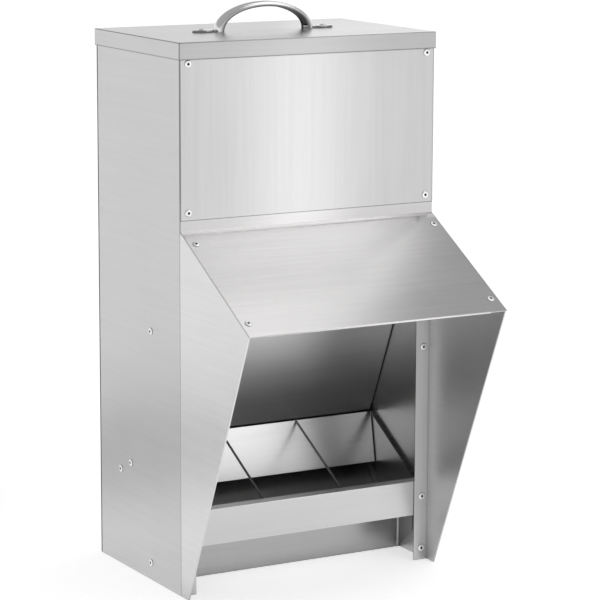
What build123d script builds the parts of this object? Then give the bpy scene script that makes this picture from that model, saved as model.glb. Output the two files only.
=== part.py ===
from build123d import *
import math
import os

# Gravity poultry feeder in thin galvanised sheet, millimetres, +Z up.
# X runs across the feeder, -Y is the side the birds eat from, Z = 0 is the ground.
# Depths below are measured rearwards from the face of the front cover, and the
# whole model is then moved so that its origin is at the bottom centre of its box.

# Driving dimensions
WIDTH = 300.0             # across the side panels
DEPTH = 196.0             # front cover to back panel
LID_TOP = 575.0           # ground to the top of the lid
SHEET = 0.8               # sheet thickness
BEND = 1.0                # inside bend radius

# Layers of sheet that lie on each other behind the front face
COVER_Y = 0.0
HOOD_Y = COVER_Y + SHEET
SIDE_Y = HOOD_Y + SHEET
INNER_Y = SIDE_Y + SHEET
BACK_INNER = DEPTH - SHEET

HALF = WIDTH / 2.0
WEB_IN = HALF - SHEET            # inside face of the side panels
END_IN = WEB_IN - SHEET          # inside face of the trough end plates
STRIP = 17.0                     # width of the flanges on the front corners
REAR_FLANGE = 15.0
FOLD_BEND = 1.2                  # inside bend radius of the folded trays
TRAY_OUTER = FOLD_BEND + SHEET

# Lid and handle
LID_GAP = 1.0
LID_SKIRT = 17.6
LID_REST = 0.1
LID_UNDER = LID_TOP - SHEET
BODY_TOP = LID_UNDER - LID_REST
LID_BEND = 1.6
LID_TOP_BEND = 1.4
HANDLE_Y = 101.0
HANDLE_HALF = 83.5
BOW_HALF = 58.5
BOW_RISE = 30.8
BOW_THICK = 6.0
BOW_WIDTH = 15.0
BOW_EDGE_R = 2.5
BOW_WALL = 1.4                   # the bow is a channel, open on the inside
LEG_THICK = 8.0
FOOT_THICK = 2.4
FOOT_WIDTH = 17.0
FOOT_TIP_R = 7.1
FOOT_EDGE_R = 0.8
FOOT_OVERLAP = 6.0               # how far the feet reach under the bow
FOOT_RIVET_X = 73.0

# Front cover and hood
COVER_BOTTOM = 394.0
HOOD_BEND_Z = 383.0
HOOD_FLANGE_TOP = 412.0
HOOD_REACH = 147.5
HOOD_DROP = 82.6
HOOD_HEM = 9.0
HEM_FOLD = 3 * SHEET
HEM_RADIUS = 0.35

# Cheeks
CHEEK_FOOT = 15.3
CHEEK_HEM = 7.0
CHEEK_TOP_FLANGE = 18.0
CHEEK_FLANGE_SHORT = 7.0         # the top flange stops this far from the nose
CHEEK_SETBACK = 1.0              # nose behind the hood's lip
ROOF_GAP = 0.02                  # cheek flange to the underside of the hood
HEM_GAP = 1.0                    # hood hem to the cheeks' top flanges
HEM_HALF = HALF - CHEEK_TOP_FLANGE - HEM_GAP

# Baffle
BAFFLE_TOP_Z = 411.0
BAFFLE_FLANGE = 15.0
BAFFLE_LOW = (121.8, 143.4)
BAFFLE_SIDE = 10.0
BAFFLE_RADIUS = 0.4
BAFFLE_RELIEF = 8.5              # side flanges stop this far from both ends

# Throat plate
THROAT_TOP = (118.6, 141.5)
THROAT_LOW = (108.3, 86.2)
THROAT_SIDE = 11.0

# Trough
LIP_TOP = 89.0
LIP_RETURN = 12.0
FLOOR_Z = 50.2
PAN_RADIUS = 0.6

# Trough end plates
END_SLOPE = 0.595                # rise of the top edge towards the rear
END_LIP_Y = 26.0                 # where the top edge is level with the trough's lip
END_APEX_Y = 117.0
END_REAR = (154.0, 112.0, 62.0)  # rear edge: Y, upper Z, lower Z
END_SOLE_Y = 92.0                # rear end of the part that stands on the ground
END_SOLE_GAP = 0.4               # in front of the kick panel
END_FRONT_DROP = 3.0             # front corner below the trough's floor
END_FRONT_GAP = 0.05
END_EDGE_FLANGE = 3.5
END_FOLD_FRONT = 3.0             # fold starts behind the lip's return
END_FOLD_SHORT = 0.8             # fold ends just before the apex

# Rear ramp
RAMP_FOOT_Y = 104.0
RAMP_TOP_Z = 153.0
RAMP_LAP = 9.0
RAMP_SIDE = 9.5
RAMP_RELIEF = (6.0, 8.0)         # side flanges stop short of the foot and of the top

# Kick panel
KICK_Y = 58.0
KICK_TOP_FLANGE = 14.0
KICK_SIDE = 30.0                 # end flanges, turned forward
KICK_BEND = 2.4
KICK_HEAD_GAP = 0.5              # under the trough's floor
KICK_SHELF_SHORT = 8.0           # shelf stops this far from the ends

# Divider wires
WIRE_D = 2.6
WIRE_BEND = 3.0
WIRE_LEFT_X = -43.5
WIRE_RIGHT_X = 51.5
WIRE_NOTCH_DROP = 0.9            # axis below the throat plate's top edge
WIRE_TAIL = 1.8                  # past the throat plate's face
WIRE_NOTCH_R = WIRE_D / 2 + 0.15
WIRE_NOTCH_REACH = 8.0
WIRE_FOOT_Y = 18.4
WIRE_FOOT_GAP = 0.3              # under the trough's lip
WIRE_TOE_GAP = 0.1               # off the trough's front wall

# Blind rivets
RIVET_HEAD_R = 3.9
RIVET_HEAD_H = 1.2
RIVET_SHANK_R = 2.0
RIVET_TAIL_R = 2.9
RIVET_TAIL_H = 1.0
RIVET_TAIL_CHAMFER = 0.5
RIVET_RIM = (0.1, 0.35)          # head's rim: set in, height
RIVET_SHOULDER = (1.2, 0.25)     # dome's shoulder: set in from the rim, below the top
RIVET_CROWN = 0.3                # flat ring around the mandrel hole
MANDREL_R = 1.35
MANDREL_DEPTH = 1.9
HOLE_R = RIVET_SHANK_R + 0.1
DRILL_REACH = 6.0
SEAT_GAP = 0.02

# Rivet places
COVER_RIVET_X = 141.0
COVER_RIVET_Z = (553.2, 402.0)
HOOD_RIVET_X = 141.5
HOOD_RIVET_Y = (-17.5, -129.0)
STRIP_RIVET_X = 142.0
STRIP_RIVET_Z = (236.8, 71.2, 13.2)
BAFFLE_RIVET = (69.9, 268.9)
THROAT_RIVET = (120.0, 117.2)
RAMP_RIVET = (144.2, 105.6)
END_RIVET = (72.2, 18.7)
BACK_RIVET_Z = (40.0, 200.0, 370.0, 535.0)
BACK_RIVET_X = HALF - 8.5
HANDLE_SEAT_Z = LID_TOP + FOOT_THICK

SHIFT_Y = -(DEPTH + LID_GAP + SHEET + HOOD_Y - HOOD_REACH) / 2.0

parts = {}


def offset_path(path, distance):
    """The path moved sideways to its left, with mitred corners."""
    moved = []
    count = len(path)
    for i, (x, y) in enumerate(path):
        normals = []
        for a, b in ((i - 1, i), (i, i + 1)):
            if a < 0 or b >= count:
                continue
            dx = path[b][0] - path[a][0]
            dy = path[b][1] - path[a][1]
            length = math.hypot(dx, dy)
            normals.append((-dy / length, dx / length))
        nx = sum(n[0] for n in normals)
        ny = sum(n[1] for n in normals)
        scale = distance * len(normals) / (nx * nx + ny * ny)
        if len(normals) == 1:
            scale = distance
        moved.append((x + nx * scale, y + ny * scale))
    return moved


def bent_sheet(path, thickness=SHEET, radius=BEND):
    """Cross-section of a sheet whose outer face follows the path, bends rounded."""
    inner = offset_path(path, thickness)
    outline = Polyline(*(path + inner[::-1]), close=True)
    face = make_face(outline)
    for i in range(1, len(path) - 1):
        ax = path[i][0] - path[i - 1][0]
        ay = path[i][1] - path[i - 1][1]
        bx = path[i + 1][0] - path[i][0]
        by = path[i + 1][1] - path[i][1]
        turns_left = ax * by - ay * bx > 0
        radii = (radius + abs(thickness), radius)
        if turns_left != (thickness > 0):
            radii = (radius, radius + abs(thickness))
        for point, size in zip((path[i], inner[i]), radii):
            corner = face.vertices().sort_by_distance(Vector(point[0], point[1], 0))[0]
            face = fillet(corner, size)
    return face


def across(face, half_width):
    """A YZ cross-section drawn out across the feeder, symmetric about X = 0."""
    return extrude(Plane.YZ * face, amount=half_width, both=True)


def side_plate(points, inside_x, thickness=SHEET):
    """A flat plate on the +X side, outlined by (y, z) points."""
    plane = Plane.YZ.offset(inside_x)
    return extrude(plane * make_face(Polyline(*points, close=True)), amount=thickness)


def edge_flange(start, end, toward, near, far, inside_x):
    """Flange on the +X edge of a sloping sheet: a strip from near to far off its face."""
    corners = ((start, near), (end, near), (end, far), (start, far))
    return side_plate([along(point, toward, reach) for point, reach in corners], inside_x)


def folded_tray(start, end, half_width, depth):
    """Flat sheet running down from start to end, both sides folded up away from its face."""
    run = lean(start, end)
    plane = Plane(origin=(0,) + start, x_dir=(1, 0, 0), z_dir=(0,) + run)
    path = [(-half_width, -depth), (-half_width, 0), (half_width, 0), (half_width, -depth)]
    section = bent_sheet(path, -SHEET, FOLD_BEND)
    return extrude(plane * section, amount=math.dist(start, end))


def along(point, direction, distance):
    """The (y, z) point moved along a (y, z) direction."""
    return (point[0] + direction[0] * distance, point[1] + direction[1] * distance)


def lean(start, end):
    """Unit vector from one (y, z) point to another."""
    length = math.dist(start, end)
    return ((end[0] - start[0]) / length, (end[1] - start[1]) / length)


def corner_relief():
    """What sheets behind the front strips leave free for the side panels' front bends."""
    bend = Pos(HALF - BEND / 2, INNER_Y + BEND / 2, BODY_TOP / 2)
    bend = bend * Box(BEND + 2 * SHEET, BEND, BODY_TOP)
    return bend + mirrored(bend)


def mirrored(shape):
    return mirror(shape, about=Plane.YZ)


def axis_plane(point, direction):
    """Plane at a fastener's seat, its normal pointing out of the head."""
    return Plane(origin=point, z_dir=direction)


def rivet(point, direction, stack):
    """Domed blind rivet: head on the seat, shank through the stack, set tail behind."""
    seat = SEAT_GAP
    grip = stack + SEAT_GAP
    profile = make_face(
        Polyline(
            (0, -grip - RIVET_TAIL_H),
            (RIVET_TAIL_R - RIVET_TAIL_CHAMFER, -grip - RIVET_TAIL_H),
            (RIVET_TAIL_R, -grip - RIVET_TAIL_H + RIVET_TAIL_CHAMFER),
            (RIVET_TAIL_R, -grip),
            (RIVET_SHANK_R, -grip),
            (RIVET_SHANK_R, seat),
            (RIVET_HEAD_R, seat),
            (RIVET_HEAD_R - RIVET_RIM[0], RIVET_RIM[1]),
            (RIVET_HEAD_R - RIVET_SHOULDER[0], RIVET_HEAD_H - RIVET_SHOULDER[1]),
            (MANDREL_R + RIVET_CROWN, RIVET_HEAD_H),
            (MANDREL_R, RIVET_HEAD_H),
            (MANDREL_R, RIVET_HEAD_H - MANDREL_DEPTH),
            (0, RIVET_HEAD_H - MANDREL_DEPTH),
            close=True,
        )
    )
    solid = revolve(Plane.XZ * profile, axis=Axis.Z)
    return axis_plane(point, direction).location * solid


def hole(point, direction, radius=HOLE_R, reach=DRILL_REACH):
    """Drill for a rivet, long enough to pass the sheets on both sides of the seat."""
    drill = Cylinder(radius, 2 * reach)
    return axis_plane(point, direction).location * drill


def drill_all(shape, points, direction):
    for point in points:
        shape = shape - hole(point, direction)
    return shape


def both_sides(x, places):
    """Points at -x and +x for each (y, z) place."""
    return [(sign * x, y, z) for y, z in places for sign in (-1, 1)]


def save(name, shape):
    """Keep the piece in its final place, as one solid or a group of solids."""
    parts[name] = Pos(0, SHIFT_Y, 0) * shape


FRONT = (0, -1, 0)
BACK = (0, 1, 0)

# Rivet seats that several sheets share
cover_points = both_sides(COVER_RIVET_X, [(COVER_Y, z) for z in COVER_RIVET_Z])
strip_points = both_sides(STRIP_RIVET_X, [(HOOD_Y, z) for z in STRIP_RIVET_Z])
back_points = both_sides(BACK_RIVET_X, [(DEPTH, z) for z in BACK_RIVET_Z])
handle_points = [(x, HANDLE_Y, HANDLE_SEAT_Z) for x in (-FOOT_RIVET_X, FOOT_RIVET_X)]
side_places = [BAFFLE_RIVET, THROAT_RIVET, RAMP_RIVET, END_RIVET]
right_points = [(HALF, y, z) for y, z in side_places]
left_points = [(-HALF, y, z) for y, z in side_places]

hood_dir = lean((HOOD_Y, HOOD_BEND_Z), (HOOD_Y - HOOD_REACH, HOOD_BEND_Z - HOOD_DROP))
hood_normal = (0, hood_dir[1], -hood_dir[0])
hood_points = []
for y in HOOD_RIVET_Y:
    z = HOOD_BEND_Z + (y - HOOD_Y) * hood_dir[1] / hood_dir[0]
    hood_points += both_sides(HOOD_RIVET_X, [(y, z)])

# Divider wires: axis where they cross the throat plate's face, and the bend at the foot
wire_upper = (THROAT_TOP[0], THROAT_TOP[1] - WIRE_NOTCH_DROP)
wire_foot = (WIRE_FOOT_Y, LIP_TOP - SHEET - WIRE_D / 2 - WIRE_FOOT_GAP)
wire_lean = lean(wire_foot, wire_upper)


def side_panel():
    """Right side panel: web with a flange turned in at the front and the rear corner."""
    path = [
        (HALF - STRIP, SIDE_Y),
        (HALF, SIDE_Y),
        (HALF, BACK_INNER),
        (HALF - REAR_FLANGE, BACK_INNER),
    ]
    panel = extrude(bent_sheet(path), amount=BODY_TOP)
    panel = drill_all(panel, cover_points + strip_points, FRONT)
    panel = drill_all(panel, back_points, BACK)
    return drill_all(panel, right_points, (1, 0, 0))


def back_panel():
    panel = Pos(0, BACK_INNER + SHEET / 2, BODY_TOP / 2) * Box(WIDTH, SHEET, BODY_TOP)
    return drill_all(panel, back_points, BACK)


def front_cover():
    height = BODY_TOP - COVER_BOTTOM
    cover = Pos(0, COVER_Y + SHEET / 2, COVER_BOTTOM + height / 2) * Box(WIDTH, SHEET, height)
    return drill_all(cover, cover_points, FRONT)


def hood_panel():
    """Rain hood: flange behind the cover, sloping roof, lip folded back between the cheeks."""
    lip = (HOOD_Y - HOOD_REACH, HOOD_BEND_Z - HOOD_DROP)
    under = along(lip, hood_normal[1:], -HEM_FOLD)
    tail = along(under, hood_dir, -HOOD_HEM)
    roof = [(HOOD_Y, HOOD_FLANGE_TOP), (HOOD_Y, HOOD_BEND_Z), lip]
    hood = across(bent_sheet(roof), HALF)
    back = along(lip, hood_dir, -2 * HEM_FOLD)
    hem = across(bent_sheet([back, lip, under, tail], SHEET, HEM_RADIUS), HEM_HALF)
    lip_strip = across(bent_sheet([back, lip]), HEM_HALF)
    hood = hood - lip_strip + hem
    hood = drill_all(hood, cover_points, FRONT)
    return drill_all(hood, hood_points, hood_normal)


def cheek():
    """Right cheek: wedge-shaped guard with a strip on the front corner and a top flange."""
    drop = (SHEET + ROOF_GAP) / hood_normal[2]
    fall = hood_dir[1] / hood_dir[0]
    top = (HOOD_Y, HOOD_BEND_Z - drop)
    nose_y = HOOD_Y - HOOD_REACH + CHEEK_SETBACK
    nose = (nose_y, top[1] + (nose_y - HOOD_Y) * fall)
    toe = (HOOD_Y - CHEEK_FOOT, 0.0)
    web = side_plate([(SIDE_Y, 0), (SIDE_Y, top[1]), nose, toe], WEB_IN)
    strip = Pos(HALF - STRIP / 2, HOOD_Y + SHEET / 2, top[1] / 2) * Box(STRIP, SHEET, top[1])
    edge = lean(toe, nose)
    inward = (edge[1], -edge[0])
    hem_toe = (along(toe, inward, CHEEK_HEM)[0], 0.0)
    hem = side_plate([toe, nose, along(nose, inward, CHEEK_HEM), hem_toe], WEB_IN - SHEET)
    flange_reach = math.dist(top, nose) - CHEEK_FLANGE_SHORT
    plane = Plane(
        origin=(HALF - CHEEK_TOP_FLANGE / 2, (top[0] + nose[0]) / 2, (top[1] + nose[1]) / 2),
        x_dir=(1, 0, 0),
        z_dir=hood_normal,
    )
    flange = plane.location * Pos(0, 0, -SHEET / 2) * Box(CHEEK_TOP_FLANGE, flange_reach, SHEET)
    body = web + strip + flange + hem
    body = drill_all(body, strip_points, FRONT)
    return drill_all(body, hood_points, hood_normal)


def baffle():
    """Sloping hopper floor: feed runs down it to the back, behind the throat plate."""
    top = (INNER_Y, BAFFLE_TOP_Z)
    slope = lean(top, BAFFLE_LOW)
    below = (slope[1], -slope[0])
    path = [(INNER_Y, BAFFLE_TOP_Z - BAFFLE_FLANGE), top, BAFFLE_LOW]
    sheet = across(bent_sheet(path, -SHEET, BAFFLE_RADIUS), WEB_IN - TRAY_OUTER)
    first = along(along(top, slope, BAFFLE_RELIEF), below, SHEET)
    last = along(along(BAFFLE_LOW, slope, -BAFFLE_RELIEF), below, SHEET)
    body = sheet + folded_tray(first, last, WEB_IN, BAFFLE_SIDE)
    body = drill_all(body, cover_points, FRONT)
    return drill_all(body, left_points + right_points, (1, 0, 0))


def throat_plate():
    """Plate below the baffle's lower edge that sets the feed gap, notched for the wires."""
    body = folded_tray(THROAT_TOP, THROAT_LOW, END_IN, THROAT_SIDE)
    for x in (WIRE_LEFT_X, WIRE_RIGHT_X):
        body = body - hole((x,) + wire_upper, (0,) + wire_lean, WIRE_NOTCH_R, WIRE_NOTCH_REACH)
    return drill_all(body, left_points + right_points, (1, 0, 0))


def trough_pan():
    """Front wall with a rolled return at the top, and the flat feed floor."""
    path = [
        (INNER_Y + LIP_RETURN, LIP_TOP),
        (INNER_Y, LIP_TOP),
        (INNER_Y, FLOOR_Z),
        (BACK_INNER - 2 * SHEET, FLOOR_Z),
    ]
    pan = across(bent_sheet(path, SHEET, PAN_RADIUS), END_IN)
    pan = pan - corner_relief()
    return drill_all(pan, strip_points, FRONT)


def edge_height(y):
    """Height of the end plates' sloping top edge."""
    return LIP_TOP + (y - END_LIP_Y) * END_SLOPE


def trough_end():
    """Right end plate: closes the trough, its top edge folded in as a safe edge."""
    front = INNER_Y + BEND + END_FRONT_GAP
    fold_front = INNER_Y + LIP_RETURN + END_FOLD_FRONT
    fold_rear = END_APEX_Y - END_FOLD_SHORT
    rear_y, rear_top, rear_low = END_REAR
    points = [
        (front, edge_height(front)),
        (front, FLOOR_Z - END_FRONT_DROP),
        (KICK_Y - END_SOLE_GAP, 0.0),
        (END_SOLE_Y, 0.0),
        (rear_y, rear_low),
        (rear_y, rear_top),
        (END_APEX_Y, edge_height(END_APEX_Y)),
    ]
    fold_thick = SHEET * math.hypot(1.0, END_SLOPE)
    fold_points = [
        (fold_front, edge_height(fold_front)),
        (fold_rear, edge_height(fold_rear)),
        (fold_rear, edge_height(fold_rear) - fold_thick),
        (fold_front, edge_height(fold_front) - fold_thick),
    ]
    fold = side_plate(fold_points, END_IN - END_EDGE_FLANGE, END_EDGE_FLANGE)
    return drill_all(side_plate(points, END_IN) + fold, right_points, (1, 0, 0))


def rear_ramp():
    """Sloping plate that brings the last of the feed forward under the throat plate."""
    floor = FLOOR_Z + SHEET
    back = BACK_INNER - SHEET
    low = (RAMP_FOOT_Y, floor)
    high = (back, RAMP_TOP_Z)
    half = END_IN - SHEET
    path = [(RAMP_FOOT_Y - RAMP_LAP, floor), low, high, (back, RAMP_TOP_Z + RAMP_LAP)]
    sheet = across(bent_sheet(path, SHEET, PAN_RADIUS), half)
    up = lean(low, high)
    over = (-up[1], up[0])
    first = along(low, up, RAMP_RELIEF[0])
    last = along(high, up, -RAMP_RELIEF[1])
    flange = edge_flange(first, last, over, 0.0, RAMP_SIDE, half)
    body = sheet + flange + mirrored(flange)
    return drill_all(body, left_points + right_points, (1, 0, 0))


def kick_panel():
    """Toe board under the trough, its end flanges turned forward against the end plates."""
    rear = KICK_Y + SHEET
    front = rear - KICK_SIDE
    path = [(END_IN, front), (END_IN, rear), (-END_IN, rear), (-END_IN, front)]
    board = extrude(bent_sheet(path, SHEET, KICK_BEND), amount=FLOOR_Z - KICK_HEAD_GAP)
    below_edge = [
        (INNER_Y + BEND, FLOOR_Z - END_FRONT_DROP),
        (KICK_Y - END_SOLE_GAP, 0.0),
        (INNER_Y + BEND, 0.0),
    ]
    board = board - across(make_face(Polyline(*below_edge, close=True)), HALF)
    shelf = Pos(0, KICK_Y + KICK_TOP_FLANGE / 2, FLOOR_Z - SHEET / 2)
    shelf = shelf * Box(2 * (END_IN - KICK_SHELF_SHORT), KICK_TOP_FLANGE, SHEET)
    return board + shelf


def divider_wire(x):
    """Straight wire across the trough: tail in the throat plate's notch, foot under the lip."""
    tail = along(wire_upper, wire_lean, WIRE_TAIL)
    toe = (INNER_Y + SHEET + WIRE_TOE_GAP, wire_foot[1])
    points = [toe, wire_foot, tail]
    line = Plane.YZ.offset(x) * FilletPolyline(*points, radius=WIRE_BEND)
    section = Plane(origin=(x,) + toe, z_dir=(0, 1, 0)) * Circle(WIRE_D / 2)
    return sweep(section, path=line)


def lid():
    """Cap lid: flat top with a skirt on all four sides."""
    width = WIDTH + 2 * (LID_GAP + SHEET)
    depth = DEPTH + 2 * (LID_GAP + SHEET)
    outer = Pos(0, DEPTH / 2, LID_TOP - LID_SKIRT / 2) * Box(width, depth, LID_SKIRT)
    outer = fillet(outer.edges().filter_by(Axis.Z), LID_BEND)
    outer = fillet(outer.edges().group_by(Axis.Z)[-1], LID_TOP_BEND)
    inner = Pos(0, DEPTH / 2, LID_UNDER - LID_SKIRT / 2)
    inner = inner * Box(width - 2 * SHEET, depth - 2 * SHEET, LID_SKIRT)
    inner = fillet(inner.edges().filter_by(Axis.Z), LID_BEND - SHEET)
    inner = fillet(inner.edges().group_by(Axis.Z)[-1], LID_TOP_BEND - SHEET)
    shell = outer - inner
    return drill_all(shell, handle_points, (0, 0, 1))


def lid_handle():
    """Arched pull with flat feet; the bow is a pressed channel with rounded outer edges."""
    middle = Plane.XZ.offset(-HANDLE_Y) * Pos(0, LID_TOP)
    outer = Ellipse(BOW_HALF, BOW_RISE)
    inner = Ellipse(BOW_HALF - LEG_THICK, BOW_RISE - BOW_THICK)
    hollow = Ellipse(BOW_HALF - BOW_WALL, BOW_RISE - BOW_WALL)
    upper = Pos(0, BOW_RISE) * Rectangle(4 * BOW_HALF, 2 * BOW_RISE)
    bow = extrude(middle * ((outer - inner) & upper), amount=BOW_WIDTH / 2, both=True)
    long_edges = [e for e in bow.edges() if e.geom_type == GeomType.ELLIPSE]
    bow = fillet(sorted(long_edges, key=lambda e: e.length)[-2:], BOW_EDGE_R)
    bow = bow - extrude(middle * (hollow & upper), amount=BOW_WIDTH / 2 - BOW_WALL, both=True)
    foot_length = HANDLE_HALF - BOW_HALF + FOOT_OVERLAP
    foot = Box(foot_length, FOOT_WIDTH, FOOT_THICK)
    foot = fillet(foot.edges().filter_by(Axis.Z), FOOT_TIP_R)
    foot = fillet(foot.edges().group_by(Axis.Z)[-1], FOOT_EDGE_R)
    foot = Pos(HANDLE_HALF - foot_length / 2, HANDLE_Y, LID_TOP + FOOT_THICK / 2) * foot
    pull = bow + foot + mirrored(foot)
    return drill_all(pull, handle_points, (0, 0, 1))


def rivet_group(points, direction, stack):
    return Compound([rivet(p, direction, stack) for p in points])


def save_pairs():
    """Pieces with a left and a right hand."""
    for name, maker in (
        ("side_panel", side_panel),
        ("cheek", cheek),
        ("trough_end_plate", trough_end),
    ):
        right = maker()
        save(name + "_right", right)
        save(name + "_left", mirrored(right))


def save_rivets():
    cover = [rivet(p, FRONT, INNER_Y - COVER_Y) for p in cover_points if p[2] > BAFFLE_TOP_Z]
    cover += [rivet(p, FRONT, INNER_Y + SHEET) for p in cover_points if p[2] < BAFFLE_TOP_Z]
    save("cover_rivets", Compound(cover))
    save("hood_rivets", rivet_group(hood_points, hood_normal, 2 * SHEET + ROOF_GAP))
    for side, sign in (("left", -1), ("right", 1)):
        strip = []
        for p in strip_points:
            if p[0] * sign > 0:
                through_trough = FLOOR_Z < p[2] < LIP_TOP
                strip.append(rivet(p, FRONT, SHEET * (3 if through_trough else 2)))
        save("cheek_strip_rivets_" + side, Compound(strip))
        wall = []
        for y, z in side_places:
            layers = 2 if (y, z) in (BAFFLE_RIVET, END_RIVET) else 3
            wall.append(rivet((sign * HALF, y, z), (sign, 0, 0), SHEET * layers))
        save("side_rivets_" + side, Compound(wall))
    save("back_rivets", rivet_group(back_points, BACK, 2 * SHEET))
    save("handle_rivets", rivet_group(handle_points, (0, 0, 1), FOOT_THICK + SHEET))


save_pairs()
save("back_panel", back_panel())
save("front_cover", front_cover())
save("hood_panel", hood_panel())
save("baffle", baffle())
save("throat_plate", throat_plate())
save("trough_pan", trough_pan())
save("rear_ramp", rear_ramp())
save("kick_panel", kick_panel())
save("divider_wire_left", divider_wire(WIRE_LEFT_X))
save("divider_wire_right", divider_wire(WIRE_RIGHT_X))
save("lid", lid())
save("lid_handle", lid_handle())
save_rivets()

os.makedirs("parts", exist_ok=True)
for name, shape in parts.items():
    export_step(shape, "parts/" + name + ".step")
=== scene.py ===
import math

import bmesh
import bpy
from mathutils import Matrix, Vector


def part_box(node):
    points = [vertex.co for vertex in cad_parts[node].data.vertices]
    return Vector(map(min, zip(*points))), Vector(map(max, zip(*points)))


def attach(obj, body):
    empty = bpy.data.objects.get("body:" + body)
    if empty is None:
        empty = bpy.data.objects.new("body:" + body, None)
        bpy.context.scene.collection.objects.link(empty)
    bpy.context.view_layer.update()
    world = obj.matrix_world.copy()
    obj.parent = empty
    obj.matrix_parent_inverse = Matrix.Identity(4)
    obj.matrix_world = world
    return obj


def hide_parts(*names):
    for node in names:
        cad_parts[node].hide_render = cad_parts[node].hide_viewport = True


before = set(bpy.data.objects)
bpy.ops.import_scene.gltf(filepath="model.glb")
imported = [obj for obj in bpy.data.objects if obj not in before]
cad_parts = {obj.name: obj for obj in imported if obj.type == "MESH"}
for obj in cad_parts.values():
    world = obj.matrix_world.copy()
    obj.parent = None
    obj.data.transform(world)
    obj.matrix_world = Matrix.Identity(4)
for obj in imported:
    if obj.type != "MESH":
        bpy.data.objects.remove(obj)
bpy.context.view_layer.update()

# Looks of the gravity poultry feeder: brushed sheet, lathed rivets and a plated pull in a
# pale studio. Metres, in the frame's own axes: +Z up, -Y towards the birds.

MM = 0.001
WHITE = (1, 1, 1)

scene = bpy.context.scene
scene.view_settings.view_transform = "Standard"
scene.view_settings.look = "None"

FRONT_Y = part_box("front_cover")[0].y
COVER_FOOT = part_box("front_cover")[0].z
LID_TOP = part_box("lid")[1].z
END_PLATE_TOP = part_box("trough_end_plate_right")[1].z


# ---------------------------------------------------------------- node helpers
# scales that draw noise out along an axis, and the axis used on faces square to it
GRAIN = {"X": (0.025, 1, 1), "Y": (1, 0.025, 1), "Z": (1, 1, 0.025)}
CROSS_GRAIN = {"X": "Y", "Y": "Z", "Z": "X"}


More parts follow.
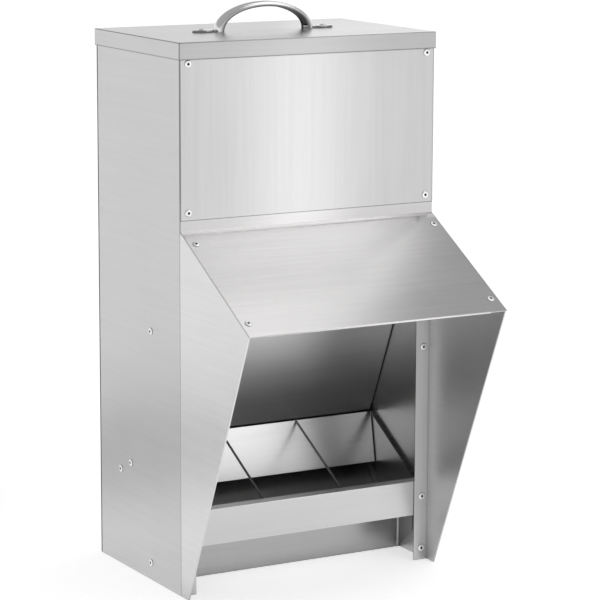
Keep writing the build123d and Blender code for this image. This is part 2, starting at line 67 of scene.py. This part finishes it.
class Shader:
    """Short-hand for building one material's node tree."""

    def __init__(self, name):
        self.material = bpy.data.materials.new(name)
        self.material.use_nodes = True
        self.tree = self.material.node_tree
        self.bsdf = self.tree.nodes["Principled BSDF"]
        self.coords = self.node("ShaderNodeTexCoord").outputs["Object"]

    def node(self, kind):
        return self.tree.nodes.new(kind)

    def link(self, source, target):
        self.tree.links.new(source, target)

    def separate(self, vector):
        """Sockets X, Y and Z of a vector."""
        split = self.node("ShaderNodeSeparateXYZ")
        self.link(vector, split.inputs["Vector"])
        return split.outputs

    def math(self, operation, a, b):
        node = self.node("ShaderNodeMath")
        node.operation = operation
        for socket, value in zip(node.inputs, (a, b)):
            if isinstance(value, (int, float)):
                socket.default_value = value
            else:
                self.link(value, socket)
        return node.outputs["Value"]

    def times(self, a, b):
        return self.math("MULTIPLY", a, b)

    def remap(self, value, low, high, from_low=0.25, from_high=0.75):
        """Bring a value to low..high; noise mostly lies in the default source range."""
        node = self.node("ShaderNodeMapRange")
        node.inputs["From Min"].default_value = from_low
        node.inputs["From Max"].default_value = from_high
        node.inputs["To Min"].default_value = low
        node.inputs["To Max"].default_value = high
        self.link(value, node.inputs["Value"])
        return node.outputs["Result"]

    def share_where(self, mask, share):
        """1 where the mask is 0, share where the mask is 1."""
        return self.remap(mask, 1.0, share, 0.0, 1.0)

    def stretched(self, scale):
        mapping = self.node("ShaderNodeMapping")
        mapping.inputs["Scale"].default_value = scale
        self.link(self.coords, mapping.inputs["Vector"])
        return mapping.outputs["Vector"]

    def brushed(self, grain):
        """Coordinates drawn out along the grain; faces square to it get the cross grain."""
        normal = self.separate(self.node("ShaderNodeNewGeometry").outputs["True Normal"])
        square_on = self.math("ABSOLUTE", normal[grain], 0.0)
        blend = self.node("ShaderNodeMix")
        blend.data_type = "VECTOR"
        self.link(self.math("GREATER_THAN", square_on, 0.75), blend.inputs["Factor"])
        self.link(self.stretched(GRAIN[grain]), blend.inputs[4])
        self.link(self.stretched(GRAIN[CROSS_GRAIN[grain]]), blend.inputs[5])
        return blend.outputs[1]

    def noise(self, scale, detail=4.0, vector=None):
        node = self.node("ShaderNodeTexNoise")
        node.inputs["Scale"].default_value = scale
        node.inputs["Detail"].default_value = detail
        node.inputs["Roughness"].default_value = 0.55
        self.link(vector or self.coords, node.inputs["Vector"])
        return node.outputs["Fac"]

    def bump(self, height, distance):
        node = self.node("ShaderNodeBump")
        node.inputs["Strength"].default_value = 1.0
        node.inputs["Distance"].default_value = distance
        self.link(height, node.inputs["Height"])
        return node.outputs["Normal"]

    def crevice_shade(self, reach, darkest):
        """Painted shade from ambient occlusion: 1 in the open, falling to darkest deep in seams
        and corners.
        """
        node = self.node("ShaderNodeAmbientOcclusion")
        node.samples = 6
        node.inputs["Distance"].default_value = reach
        return self.remap(node.outputs["AO"], darkest, 1.0, 0.15, 0.75)

    def near_sides(self, node_name, width, axes, needed):
        """1 where the point is near the sides of the node's box on enough of the axes."""
        low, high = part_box(node_name)
        place = self.separate(self.coords)
        total = 0.0
        for axis in axes:
            i = "XYZ".index(axis)
            offset = self.math("SUBTRACT", place[axis], (low[i] + high[i]) / 2)
            limit = (high[i] - low[i]) / 2 - width
            near = self.math("GREATER_THAN", self.math("ABSOLUTE", offset, 0.0), limit)
            total = self.math("ADD", near, total)
        return self.math("GREATER_THAN", total, needed - 0.5)

    def above_slope(self, y, z, slope):
        """1 above the sloping line through (y, z), 0 below it."""
        place = self.separate(self.coords)
        level = self.math("SUBTRACT", place["Z"], self.times(place["Y"], slope))
        return self.math("GREATER_THAN", level, z - slope * y)

    def near_line(self, y, z, reach):
        """1 on the line along X through (y, z), falling to 0 at the reach."""
        flat = self.node("ShaderNodeVectorMath")
        flat.operation = "MULTIPLY"
        flat.inputs[1].default_value = (0, 1, 1)
        self.link(self.coords, flat.inputs[0])
        return self.remap(self.distance(flat.outputs["Vector"], (0, y, z)), 1.0, 0.0, 0.0, reach)

    def distance(self, vector, point):
        node = self.node("ShaderNodeVectorMath")
        node.operation = "DISTANCE"
        node.inputs[1].default_value = point
        self.link(vector, node.inputs[0])
        return node.outputs["Value"]

    def attribute(self, name):
        node = self.node("ShaderNodeAttribute")
        node.attribute_name = name
        return node.outputs["Fac"]

    def base_colour(self, value, tint=WHITE):
        """Link the base colour: the given brightness with a slight tint."""
        node = self.node("ShaderNodeCombineColor")
        for socket, factor in zip(node.inputs, tint):
            self.link(self.times(value, factor), socket)
        self.link(node.outputs["Color"], self.bsdf.inputs["Base Color"])

    def metal(self, shade, roughness, tint=WHITE):
        """Finish the material as bare metal."""
        self.base_colour(shade, tint)
        self.link(roughness, self.bsdf.inputs["Roughness"])
        self.bsdf.inputs["Metallic"].default_value = 1.0
        return self.material


# ---------------------------------------------------------------- finishes
LINE_SCALE = 330.0                # brushing: the single scratches
STREAK_SCALE = 140.0              # brushing: bundles of scratches
BLOOM_SCALE = 11.0                # cloudiness of the zinc
WAVE_SCALE = 5.0                  # slight waviness of thin sheet
WAVE_HEIGHT = 0.5 * MM
# reach of the painted shade in narrow seams and in wide inner corners
SEAM_REACH = 3.0 * MM
CORNER_REACH = 40.0 * MM

# where a painted zone of shade or highlight lies: the axes to look along, and on how many of them
# it must be near a side
UPRIGHT_EDGES = ("XY", 2)
ALL_EDGES = ("XYZ", 2)
LEFT_AND_RIGHT = ("X", 1)
FRONT_AND_BACK = ("Y", 1)
TOP_AND_BOTTOM = ("Z", 1)


def sheet_metal(
    name, grain, tone, roughness, tint=WHITE,
    seam_shade=0.25, corner_shade=1.0, painted_zones=(), painted_shade_above=None, painted_highlight_line=None,
):
    """Brushed galvanised sheet: grain along one axis, cloudy bloom, seams darkened with painted
    shade.

    seam_shade and corner_shade are the tones of painted shade deep in narrow gaps
    and in wide inner corners;
    painted_zones = (node, width, share, where) each scale the tone near a node's box
    sides, as painted shade where the share is below 1 and a painted highlight above it;
    painted_shade_above = (y, z, slope): painted shade over what lies above that sloping line;
    painted_highlight_line = (y, z, reach, share) scales the tone along a line across the
    feeder, as a painted highlight.
    """
    shader = Shader(name)
    brushed = shader.brushed(grain)
    lines = shader.noise(LINE_SCALE, 0.0, brushed)
    streaks = shader.noise(STREAK_SCALE, 3.0, brushed)
    bloom = shader.noise(BLOOM_SCALE, 3.0)
    shade = shader.remap(lines, tone * 0.985, tone * 1.015)
    shade = shader.times(shade, shader.remap(streaks, 0.985, 1.015))
    shade = shader.times(shade, shader.remap(bloom, 0.98, 1.02))
    shade = shader.times(shade, shader.crevice_shade(SEAM_REACH, seam_shade))
    if corner_shade < 1.0:
        shade = shader.times(shade, shader.crevice_shade(CORNER_REACH, corner_shade))
    if painted_shade_above:
        shade = shader.times(shade, shader.share_where(shader.above_slope(*painted_shade_above), 0.25))
    if painted_highlight_line:
        y, z, reach, share = painted_highlight_line
        shade = shader.times(shade, shader.share_where(shader.near_line(y, z, reach), share))
    for node_name, width, share, where in painted_zones:
        mask = shader.near_sides(node_name, width, *where)
        shade = shader.times(shade, shader.share_where(mask, share))
    rough = shader.remap(streaks, roughness - 0.01, roughness + 0.02)
    rough = shader.math("ADD", rough, shader.remap(bloom, -0.015, 0.015))
    waves = shader.noise(WAVE_SCALE, 0.0)
    shader.link(shader.bump(waves, WAVE_HEIGHT), shader.bsdf.inputs["Normal"])
    return shader.metal(shade, rough, tint)


def wire_finish():
    """Drawn wire, dark and fairly rough, with painted shade where it meets other parts."""
    shader = Shader("wire_metal")
    fine = shader.noise(900.0)
    shade = shader.remap(shader.noise(60.0, 3.0), 0.192, 0.208)
    shade = shader.times(shade, shader.crevice_shade(1.5 * MM, 0.3))
    shader.link(shader.bump(fine, 0.004 * MM), shader.bsdf.inputs["Normal"])
    return shader.metal(shade, shader.remap(fine, 0.28, 0.4375))


def rivet_finish():
    """Bright aluminium dome; the head's rim is painted dark as shade, and the mandrel hole is
    painted near black, partly as the broken steel stub in it and partly as painted shade; its
    seams get painted shade too.
    """
    shader = Shader("rivet_metal")
    fine = shader.noise(900.0, 3.0)
    painted_shade = shader.attribute("painted_shade")
    shade = shader.remap(fine, 0.80, 0.88)
    shade = shader.times(shade, shader.share_where(painted_shade, 0.05))
    shade = shader.times(shade, shader.crevice_shade(1.5 * MM, 0.25))
    rough = shader.math("ADD", shader.remap(fine, 0.32, 0.42), shader.times(painted_shade, 0.3))
    return shader.metal(shade, rough)


def handle_finish():
    """Polished plating; its rims, the rear one most, the inside of its channel and the feet next
    to the lid are painted dark as shade, and its crevices get painted shade too.
    """
    shader = Shader("handle_plating")
    shade = shader.remap(shader.noise(60.0, 3.0), 0.66, 0.72)
    shade = shader.times(shade, shader.share_where(shader.attribute("painted_shade"), 0.22))
    shade = shader.times(shade, shader.crevice_shade(2.0 * MM, 0.2))
    return shader.metal(shade, shader.remap(shader.noise(900.0), 0.10, 0.16))


# painted shade above the end plates' sloping top edge: a point just under that edge, and its slope
END_PLATE_SHADE_EDGE = (FRONT_Y + 117 * MM, END_PLATE_TOP - 0.9 * MM, 0.595)

# painted highlight: a line across the hood's roof just in front of its bend, with its reach and
# share
ROOF_HIGHLIGHT_LINE = (FRONT_Y - 4.2 * MM, COVER_FOOT - 13.8 * MM, 5.0 * MM, 1.4)

# painted shade along the side panels' upright edges; the right side sheet is a darker copy of the
# left one, as painted shade
side_left = sheet_metal(
    "side_sheet_left", "Y", 0.55, 0.30, seam_shade=0.6,
    painted_zones=[("side_panel_left", 1.1 * MM, 0.35, UPRIGHT_EDGES)],
)
side_right = sheet_metal(
    "side_sheet_right", "Y", 0.50, 0.30, seam_shade=0.6,
    painted_zones=[("side_panel_right", 1.1 * MM, 0.35, UPRIGHT_EDGES)],
)
# painted shade along the back panel's edges
back_metal = sheet_metal(
    "back_sheet", "Z", 0.55, 0.28, painted_zones=[("back_panel", 0.7 * MM, 0.4, ALL_EDGES)]
)
# painted shade in the cheeks' wide inner corners; the right cheek is a darker, rougher copy of the
# left one, as painted shade
cheek_left = sheet_metal("cheek_sheet_left", "Y", 0.67, 0.28, seam_shade=0.6, corner_shade=0.5)
cheek_right = sheet_metal("cheek_sheet_right", "Y", 0.64, 0.42, seam_shade=0.6, corner_shade=0.7)
# painted shade along the cover's edges
cover_metal = sheet_metal(
    "cover_sheet", "Z", 0.56, 0.24, painted_zones=[("front_cover", 0.7 * MM, 0.4, ALL_EDGES)]
)
# painted shade along the hood's left and right edges, and a painted highlight across its roof
hood_metal = sheet_metal(
    "hood_sheet", "X", 0.58, 0.22, tint=(1.0, 0.985, 0.985), seam_shade=0.85,
    painted_zones=[("hood_panel", 0.6 * MM, 0.55, LEFT_AND_RIGHT)], painted_highlight_line=ROOF_HIGHLIGHT_LINE,
)
baffle_metal = sheet_metal("baffle_sheet", "X", 0.62, 0.34)
inner_metal = sheet_metal("inner_sheet", "X", 0.56, 0.29)
# painted highlight along the pan's top and bottom edges
pan_metal = sheet_metal(
    "pan_sheet", "X", 0.55, 0.29, painted_zones=[("trough_pan", 0.9 * MM, 1.4, TOP_AND_BOTTOM)]
)
# painted shade above the end plates' sloping top edge
end_metal = sheet_metal("end_sheet", "Y", 0.46, 0.30, painted_shade_above=END_PLATE_SHADE_EDGE)
# painted shade deep in the kick panel's wide inner corners
kick_metal = sheet_metal("kick_sheet", "X", 0.45, 0.30, corner_shade=0.35)
# painted shade along the lid's edges, and lighter painted shade over its front and back skirts
lid_metal = sheet_metal(
    "lid_sheet", "X", 0.54, 0.28,
    painted_zones=[("lid", 0.9 * MM, 0.5, ALL_EDGES), ("lid", 2.0 * MM, 0.86, FRONT_AND_BACK)],
)
rivet_metal = rivet_finish()
wire_metal = wire_finish()
handle_metal = handle_finish()

# every node that isn't listed is a group of rivets
FINISH = {
    "side_panel_left": side_left,
    "side_panel_right": side_right,
    "back_panel": back_metal,
    "cheek_left": cheek_left,
    "cheek_right": cheek_right,
    "front_cover": cover_metal,
    "hood_panel": hood_metal,
    "baffle": baffle_metal,
    "throat_plate": inner_metal,
    "trough_pan": pan_metal,
    "rear_ramp": inner_metal,
    "kick_panel": kick_metal,
    "trough_end_plate_left": end_metal,
    "trough_end_plate_right": end_metal,
    "lid": lid_metal,
    "lid_handle": handle_metal,
    "divider_wire_left": wire_metal,
    "divider_wire_right": wire_metal,
}

for node_name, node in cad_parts.items():
    node.data.materials.clear()
    node.data.materials.append(FINISH.get(node_name, rivet_metal))


# ---------------------------------------------------------------- mesh helpers
class Surface:
    """Vertices and faces of one piece, with how much painted shade darkens its material at each
    vertex.
    """

    def __init__(self):
        self.verts = []
        self.faces = []
        self.painted_shade = []

    def add_rings(self, rings, capped):
        """Join rings of (point, painted shade) pairs, all of one length, into a tube."""
        base = len(self.verts)
        count = len(rings[0])
        for ring in rings:
            for point, painted_shade in ring:
                self.verts.append(tuple(point))
                self.painted_shade.append(float(painted_shade))
        for i in range(len(rings) - 1):
            for k in range(count):
                a = base + i * count + k
                b = base + i * count + (k + 1) % count
                self.faces.append((a, b, b + count, a + count))
        if capped:
            last = len(self.verts) - count
            self.faces.append(tuple(range(base, base + count)))
            self.faces.append(tuple(range(last, last + count)))

    def make(self, name, material, smooth_angle):
        mesh = bpy.data.meshes.new(name)
        mesh.from_pydata(self.verts, [], self.faces)
        mesh.attributes.new("painted_shade", "FLOAT", "POINT").data.foreach_set("value", self.painted_shade)
        work = bmesh.new()
        work.from_mesh(mesh)
        bmesh.ops.recalc_face_normals(work, faces=work.faces)
        work.to_mesh(mesh)
        work.free()
        mesh.materials.append(material)
        piece = bpy.data.objects.new(name, mesh)
        scene.collection.objects.link(piece)
        mesh.shade_smooth()
        mesh.set_sharp_from_angle(angle=math.radians(smooth_angle))
        return piece


def solids_of(node_name):
    """Vertex positions of each separate solid in a CAD node."""
    work = bmesh.new()
    work.from_mesh(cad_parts[node_name].data)
    bmesh.ops.remove_doubles(work, verts=work.verts, dist=1e-6)
    seen = set()
    groups = []
    for start in work.verts:
        if start.index in seen:
            continue
        stack = [start]
        group = []
        seen.add(start.index)
        while stack:
            vert = stack.pop()
            group.append(vert.co.copy())
            for edge in vert.link_edges:
                other = edge.other_vert(vert)
                if other.index not in seen:
                    seen.add(other.index)
                    stack.append(other)
        groups.append(group)
    work.free()
    return groups


# ---------------------------------------------------------------- rivets
HEAD_R = 3.9 * MM
HEAD_H = 1.2 * MM
SHANK_R = 2.0 * MM
TAIL_R = 2.9 * MM
TAIL_H = 1.0 * MM
HOLE_R = 1.3 * MM
CROWN = 0.25 * MM                 # flat ring around the mandrel hole
RIVET_STEPS = 28
DOME_STEPS = 6


def rivet_profile(length):
    """(radius, height, painted shade) from the tail up over the head and down the mandrel hole."""
    low = HEAD_H - length
    tail = low + TAIL_H
    rings = [
        (0.0, low, 0),
        (TAIL_R * 0.75, low, 0),
        (TAIL_R, low + TAIL_H * 0.5, 0),
        (TAIL_R * 0.96, tail, 0),
        (SHANK_R, tail, 0),
        (SHANK_R, 0.0, 0),
        # painted shade: a dark outline round the head's rim
        (HEAD_R * 0.985, 0.02 * MM, 0.8),
        (HEAD_R, 0.18 * MM, 0.6),
    ]
    crown_r = HOLE_R + CROWN
    for i in range(DOME_STEPS):
        turn = math.radians(23.5 + i * 11.5)
        radius = crown_r + (HEAD_R - crown_r) * math.cos(turn) ** 0.8
        rings.append((radius, 0.2 * MM + (HEAD_H - 0.2 * MM) * math.sin(turn), 0))
    # the mandrel hole and its broken steel stub: painted near black, partly the stub's darker
    # steel and partly painted shade
    rings += [
        (crown_r, HEAD_H, 0),
        (HOLE_R, HEAD_H - 0.12 * MM, 1),
        (HOLE_R * 0.97, HEAD_H - 0.9 * MM, 1),
        (HOLE_R * 0.75, HEAD_H - 1.0 * MM, 1),
        (HOLE_R * 0.35, HEAD_H - 0.75 * MM, 1),
        (0.0, HEAD_H - 0.7 * MM, 1),
    ]
    return rings


def make_rivets(node_name, direction, body):
    """Lathe a detailed blind rivet for every solid of the CAD node."""
    axis = Vector(direction).normalized()
    side = axis.orthogonal().normalized()
    across = axis.cross(side)
    spokes = []
    for k in range(RIVET_STEPS):
        turn = 2 * math.pi * k / RIVET_STEPS
        spokes.append(side * math.cos(turn) + across * math.sin(turn))
    surface = Surface()
    for group in solids_of(node_name):
        heights = [v.dot(axis) for v in group]
        seat = max(heights) - HEAD_H
        middle = Vector()
        for in_plane in (side, across):
            spread = [v.dot(in_plane) for v in group]
            middle += in_plane * (max(spread) + min(spread)) / 2
        rings = []
        for radius, height, painted_shade in rivet_profile(max(heights) - min(heights)):
            centre = middle + axis * (seat + height)
            rings.append([(centre + spoke * radius, painted_shade) for spoke in spokes])
        surface.add_rings(rings, capped=False)
    piece = surface.make(node_name + "_fine", rivet_metal, 40.0)
    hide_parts(node_name)
    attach(piece, body)


def hood_axis():
    """Direction square to the hood, from the rows of its rivets."""
    centres = [sum(group, Vector()) / len(group) for group in solids_of("hood_rivets")]
    centres.sort(key=lambda c: c.y)
    run = centres[-1] - centres[0]
    return Vector((0, -run.z, run.y)).normalized()


make_rivets("cover_rivets", (0, -1, 0), "feeder_body")
make_rivets("cheek_strip_rivets_left", (0, -1, 0), "feeder_body")
make_rivets("cheek_strip_rivets_right", (0, -1, 0), "feeder_body")
make_rivets("side_rivets_left", (-1, 0, 0), "feeder_body")
make_rivets("side_rivets_right", (1, 0, 0), "feeder_body")
make_rivets("back_rivets", (0, 1, 0), "feeder_body")
make_rivets("hood_rivets", hood_axis(), "feeder_body")
make_rivets("handle_rivets", (0, 0, 1), "lid_assembly")


# ---------------------------------------------------------------- handle
BOW_HALF = 58.5 * MM
BOW_THICK = 6.0 * MM
BOW_LEG = 8.0 * MM
BOW_HALF_WIDTH = 7.5 * MM
BOW_FLARE = 0.12                  # how much wider the bow is at its feet
BOW_STEPS = 72
# how much painted shade darkens the crowned face across the bow, from the front rim to the rear
# one
BOW_RIMS = (1.0, 0.35, 0, 0, 0, 0, 0, 0, 0.1, 0.5, 0.85, 1.0, 1.0)
# rear half of the hollow inside: share of the half width, share of the thickness
BOW_CHANNEL = ((0.95, 0.02), (0.8, 0.04), (0.74, 0.5), (0.45, 0.74), (0.0, 0.78))

FOOT_START = 51.5 * MM
FOOT_STEPS = 40
FOOT_LEAST_HALF = 0.15 * MM
# millimetres above the lid, share of the half width, how much painted shade (darkest next to the
# lid)
FOOT_LEVELS = ((0.0, 1.0, 1.0), (1.5, 1.0, 1.0), (2.1, 0.93, 0.4), (2.4, 0.8, 0.0))


def bow_section():
    """(across, out, painted shade) around the bow; out goes from its inner to its outer face; the
    hollow inside is painted fully dark as shade.
    """
    crown = []
    for k, painted_shade in enumerate(BOW_RIMS):
        turn = math.radians(-90 + 15 * k)
        crown.append((math.sin(turn), 0.2 + 0.8 * math.cos(turn) ** 0.7, painted_shade))
    rear = [(across, out, 1.0) for across, out in BOW_CHANNEL]
    front = [(-across, out, painted_shade) for across, out, painted_shade in rear[-2::-1]]
    return crown + rear + front


def bow_rings(middle_y, ground, rise):
    """Cross-sections along the elliptic arch, from the left foot to the right one."""
    section = bow_section()
    rings = []
    for i in range(BOW_STEPS + 1):
        turn = math.pi * i / BOW_STEPS
        half_width = BOW_HALF_WIDTH * (1.0 + BOW_FLARE * (1 - math.sin(turn)) ** 3)
        outer = Vector((-BOW_HALF * math.cos(turn), rise * math.sin(turn)))
        inner_half = BOW_HALF - BOW_LEG
        inner_rise = rise - BOW_THICK
        inner = Vector((-inner_half * math.cos(turn), inner_rise * math.sin(turn)))
        ring = []
        for across, out, painted_shade in section:
            point = inner.lerp(outer, out)
            y = middle_y + across * half_width
            ring.append((Vector((point.x, y, ground + max(point.y, 0.0))), painted_shade))
        rings.append(ring)
    return rings


def foot_half_width(s):
    """Half width of a foot at fraction s from the bow (0) to the tip (1)."""
    eye = 8.4 * MM * math.sqrt(max(0.0, 1 - ((s - 0.62) / 0.385) ** 2))
    if s >= 0.62:
        return eye
    waist = 6.0 * MM + 1.2 * MM * math.cos(2 * math.pi * min(s / 0.55, 1.0))
    return max(waist, eye)


def foot_rings(sign, tip, middle_y, ground):
    """Cross-sections of one foot, from under the bow out to its round tip."""
    rings = []
    for i in range(FOOT_STEPS + 1):
        s = 0.5 - 0.5 * math.cos(math.pi * i / FOOT_STEPS)
        half = max(foot_half_width(s), FOOT_LEAST_HALF)
        x = sign * (FOOT_START + (tip - FOOT_START) * s)
        ring = []
        for edge, levels in ((-half, FOOT_LEVELS), (half, FOOT_LEVELS[::-1])):
            for height, share, painted_shade in levels:
                point = Vector((x, middle_y + edge * share, ground + height * MM))
                ring.append((point, painted_shade))
        rings.append(ring)
    return rings


def make_handle():
    """Pressed, plated pull: crowned bow on two shaped feet, hollow underneath."""
    low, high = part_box("lid_handle")
    middle_y = (low.y + high.y) / 2
    surface = Surface()
    surface.add_rings(bow_rings(middle_y, low.z, high.z - low.z), capped=True)
    for sign in (-1, 1):
        surface.add_rings(foot_rings(sign, high.x, middle_y, low.z), capped=True)
    piece = surface.make("handle_pull", handle_metal, 50.0)
    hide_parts("lid_handle")
    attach(piece, "lid_assembly")


make_handle()


# ---------------------------------------------------------------- floor, world, lights
FLOOR_HALF = 30.0
FLOOR_SHADE_PATCH = (-0.48, 0.60, 0.0)    # centre of the floor's patch of painted shade, where its painted glow fades, outside the picture
# sine of the elevation, level
SKY = ((0.0, 1.0), (0.30, 1.0), (0.45, 0.48), (1.0, 0.48))
SKY_STRENGTH = 1.05

# name, place, target, width, height, radiance
LIGHTS = (
    ("cover_strip", (0.25, FRONT_Y - 0.47, 0.42), (0, FRONT_Y, 0.52), 0.09, 0.34, 0.78),
    ("throat_bank", (0.20, FRONT_Y - 0.34, 0.20), (0.02, 0.08, 0.13), 0.28, 0.08, 1.35),
    ("hood_bank", (0.255, 0.13, 0.96), (0, -0.1, 0.34), 0.28, 0.36, 0.9),
    ("hood_bank_front", (0.255, -0.22, 0.96), (0, -0.1, 0.34), 0.28, 0.36, 1.5),
    ("bend_bank", (0.48, -0.53, 1.03), (0, -0.03, 0.39), 0.50, 0.42, 0.85),
    ("lid_bank", (0.60, 0.80, 0.74), (0.1, 0.07, LID_TOP), 0.30, 0.16, 0.3),
)


def make_floor():
    """Pale paper with painted light: it glows a little, except around a dim patch of painted
    shade.
    """
    h = FLOOR_HALF
    mesh = bpy.data.meshes.new("floor")
    mesh.from_pydata([(-h, -h, 0), (h, -h, 0), (h, h, 0), (-h, h, 0)], [], [(0, 1, 2, 3)])
    floor = bpy.data.objects.new("floor", mesh)
    scene.collection.objects.link(floor)
    shader = Shader("floor_paper")
    shader.base_colour(shader.remap(shader.noise(3.0), 0.90, 0.92))
    shader.bsdf.inputs["Roughness"].default_value = 0.9
    shader.bsdf.inputs["Specular IOR Level"].default_value = 0.0
    away = shader.distance(shader.coords, FLOOR_SHADE_PATCH)
    shader.link(shader.remap(away, 0.08, 0.52, 0.1, 0.40), shader.bsdf.inputs["Emission Strength"])
    shader.bsdf.inputs["Emission Color"].default_value = (1, 1, 1, 1)
    mesh.materials.append(shader.material)


def make_world():
    """Even white near the horizon, dimmer overhead."""
    world = bpy.data.worlds.new("studio")
    scene.world = world
    world.use_nodes = True
    tree = world.node_tree
    background = tree.nodes["Background"]
    coords = tree.nodes.new("ShaderNodeTexCoord")
    split = tree.nodes.new("ShaderNodeSeparateXYZ")
    ramp = tree.nodes.new("ShaderNodeValToRGB")
    ramp.color_ramp.interpolation = "EASE"
    elements = ramp.color_ramp.elements
    while len(elements) < len(SKY):
        elements.new(0.5)
    for element, (place, level) in zip(elements, SKY):
        element.position = place
        element.color = (level, level, level, 1)
    tree.links.new(coords.outputs["Generated"], split.inputs["Vector"])
    tree.links.new(split.outputs["Z"], ramp.inputs["Fac"])
    tree.links.new(ramp.outputs["Color"], background.inputs["Color"])
    background.inputs["Strength"].default_value = SKY_STRENGTH


def make_softbox(name, place, target, width, height, radiance):
    """Area light that faces the target and is seen only by reflection."""
    light = bpy.data.lights.new(name, "AREA")
    light.shape = "RECTANGLE"
    light.size = width
    light.size_y = height
    light.energy = radiance * width * height * math.pi
    lamp = bpy.data.objects.new(name, light)
    scene.collection.objects.link(lamp)
    lamp.location = place
    lamp.rotation_euler = (Vector(target) - Vector(place)).to_track_quat("-Z", "Y").to_euler()
    lamp.visible_camera = False


make_floor()
make_world()
for light in LIGHTS:
    make_softbox(*light)


# ---------------------------------------------------------------- camera
AZIMUTH = math.radians(-29.412)
ELEVATION = math.radians(10.525)
ROLL = math.radians(0.227)
LENS = 160.08
SENSOR = 36.0
CAMERA_PLACE = Vector((-1.354207, FRONT_Y - 2.382632, 0.809559))


def make_camera():
    """Long lens, to the feeder's left and a little above it."""
    level = math.cos(ELEVATION)
    back = Vector(
        (math.sin(AZIMUTH) * level, -math.cos(AZIMUTH) * level, math.sin(ELEVATION))
    )
    right = Vector((0, 0, 1)).cross(back).normalized()
    up = back.cross(right)
    rolled_right = right * math.cos(ROLL) + up * math.sin(ROLL)
    rolled_up = up * math.cos(ROLL) - right * math.sin(ROLL)
    rotation = Matrix((rolled_right, rolled_up, back)).transposed().to_4x4()
    data = bpy.data.cameras.new("camera")
    data.lens = LENS
    data.sensor_width = SENSOR
    data.clip_end = 100.0
    camera = bpy.data.objects.new("camera", data)
    scene.collection.objects.link(camera)
    camera.matrix_world = Matrix.Translation(CAMERA_PLACE) @ rotation
    scene.camera = camera


make_camera()
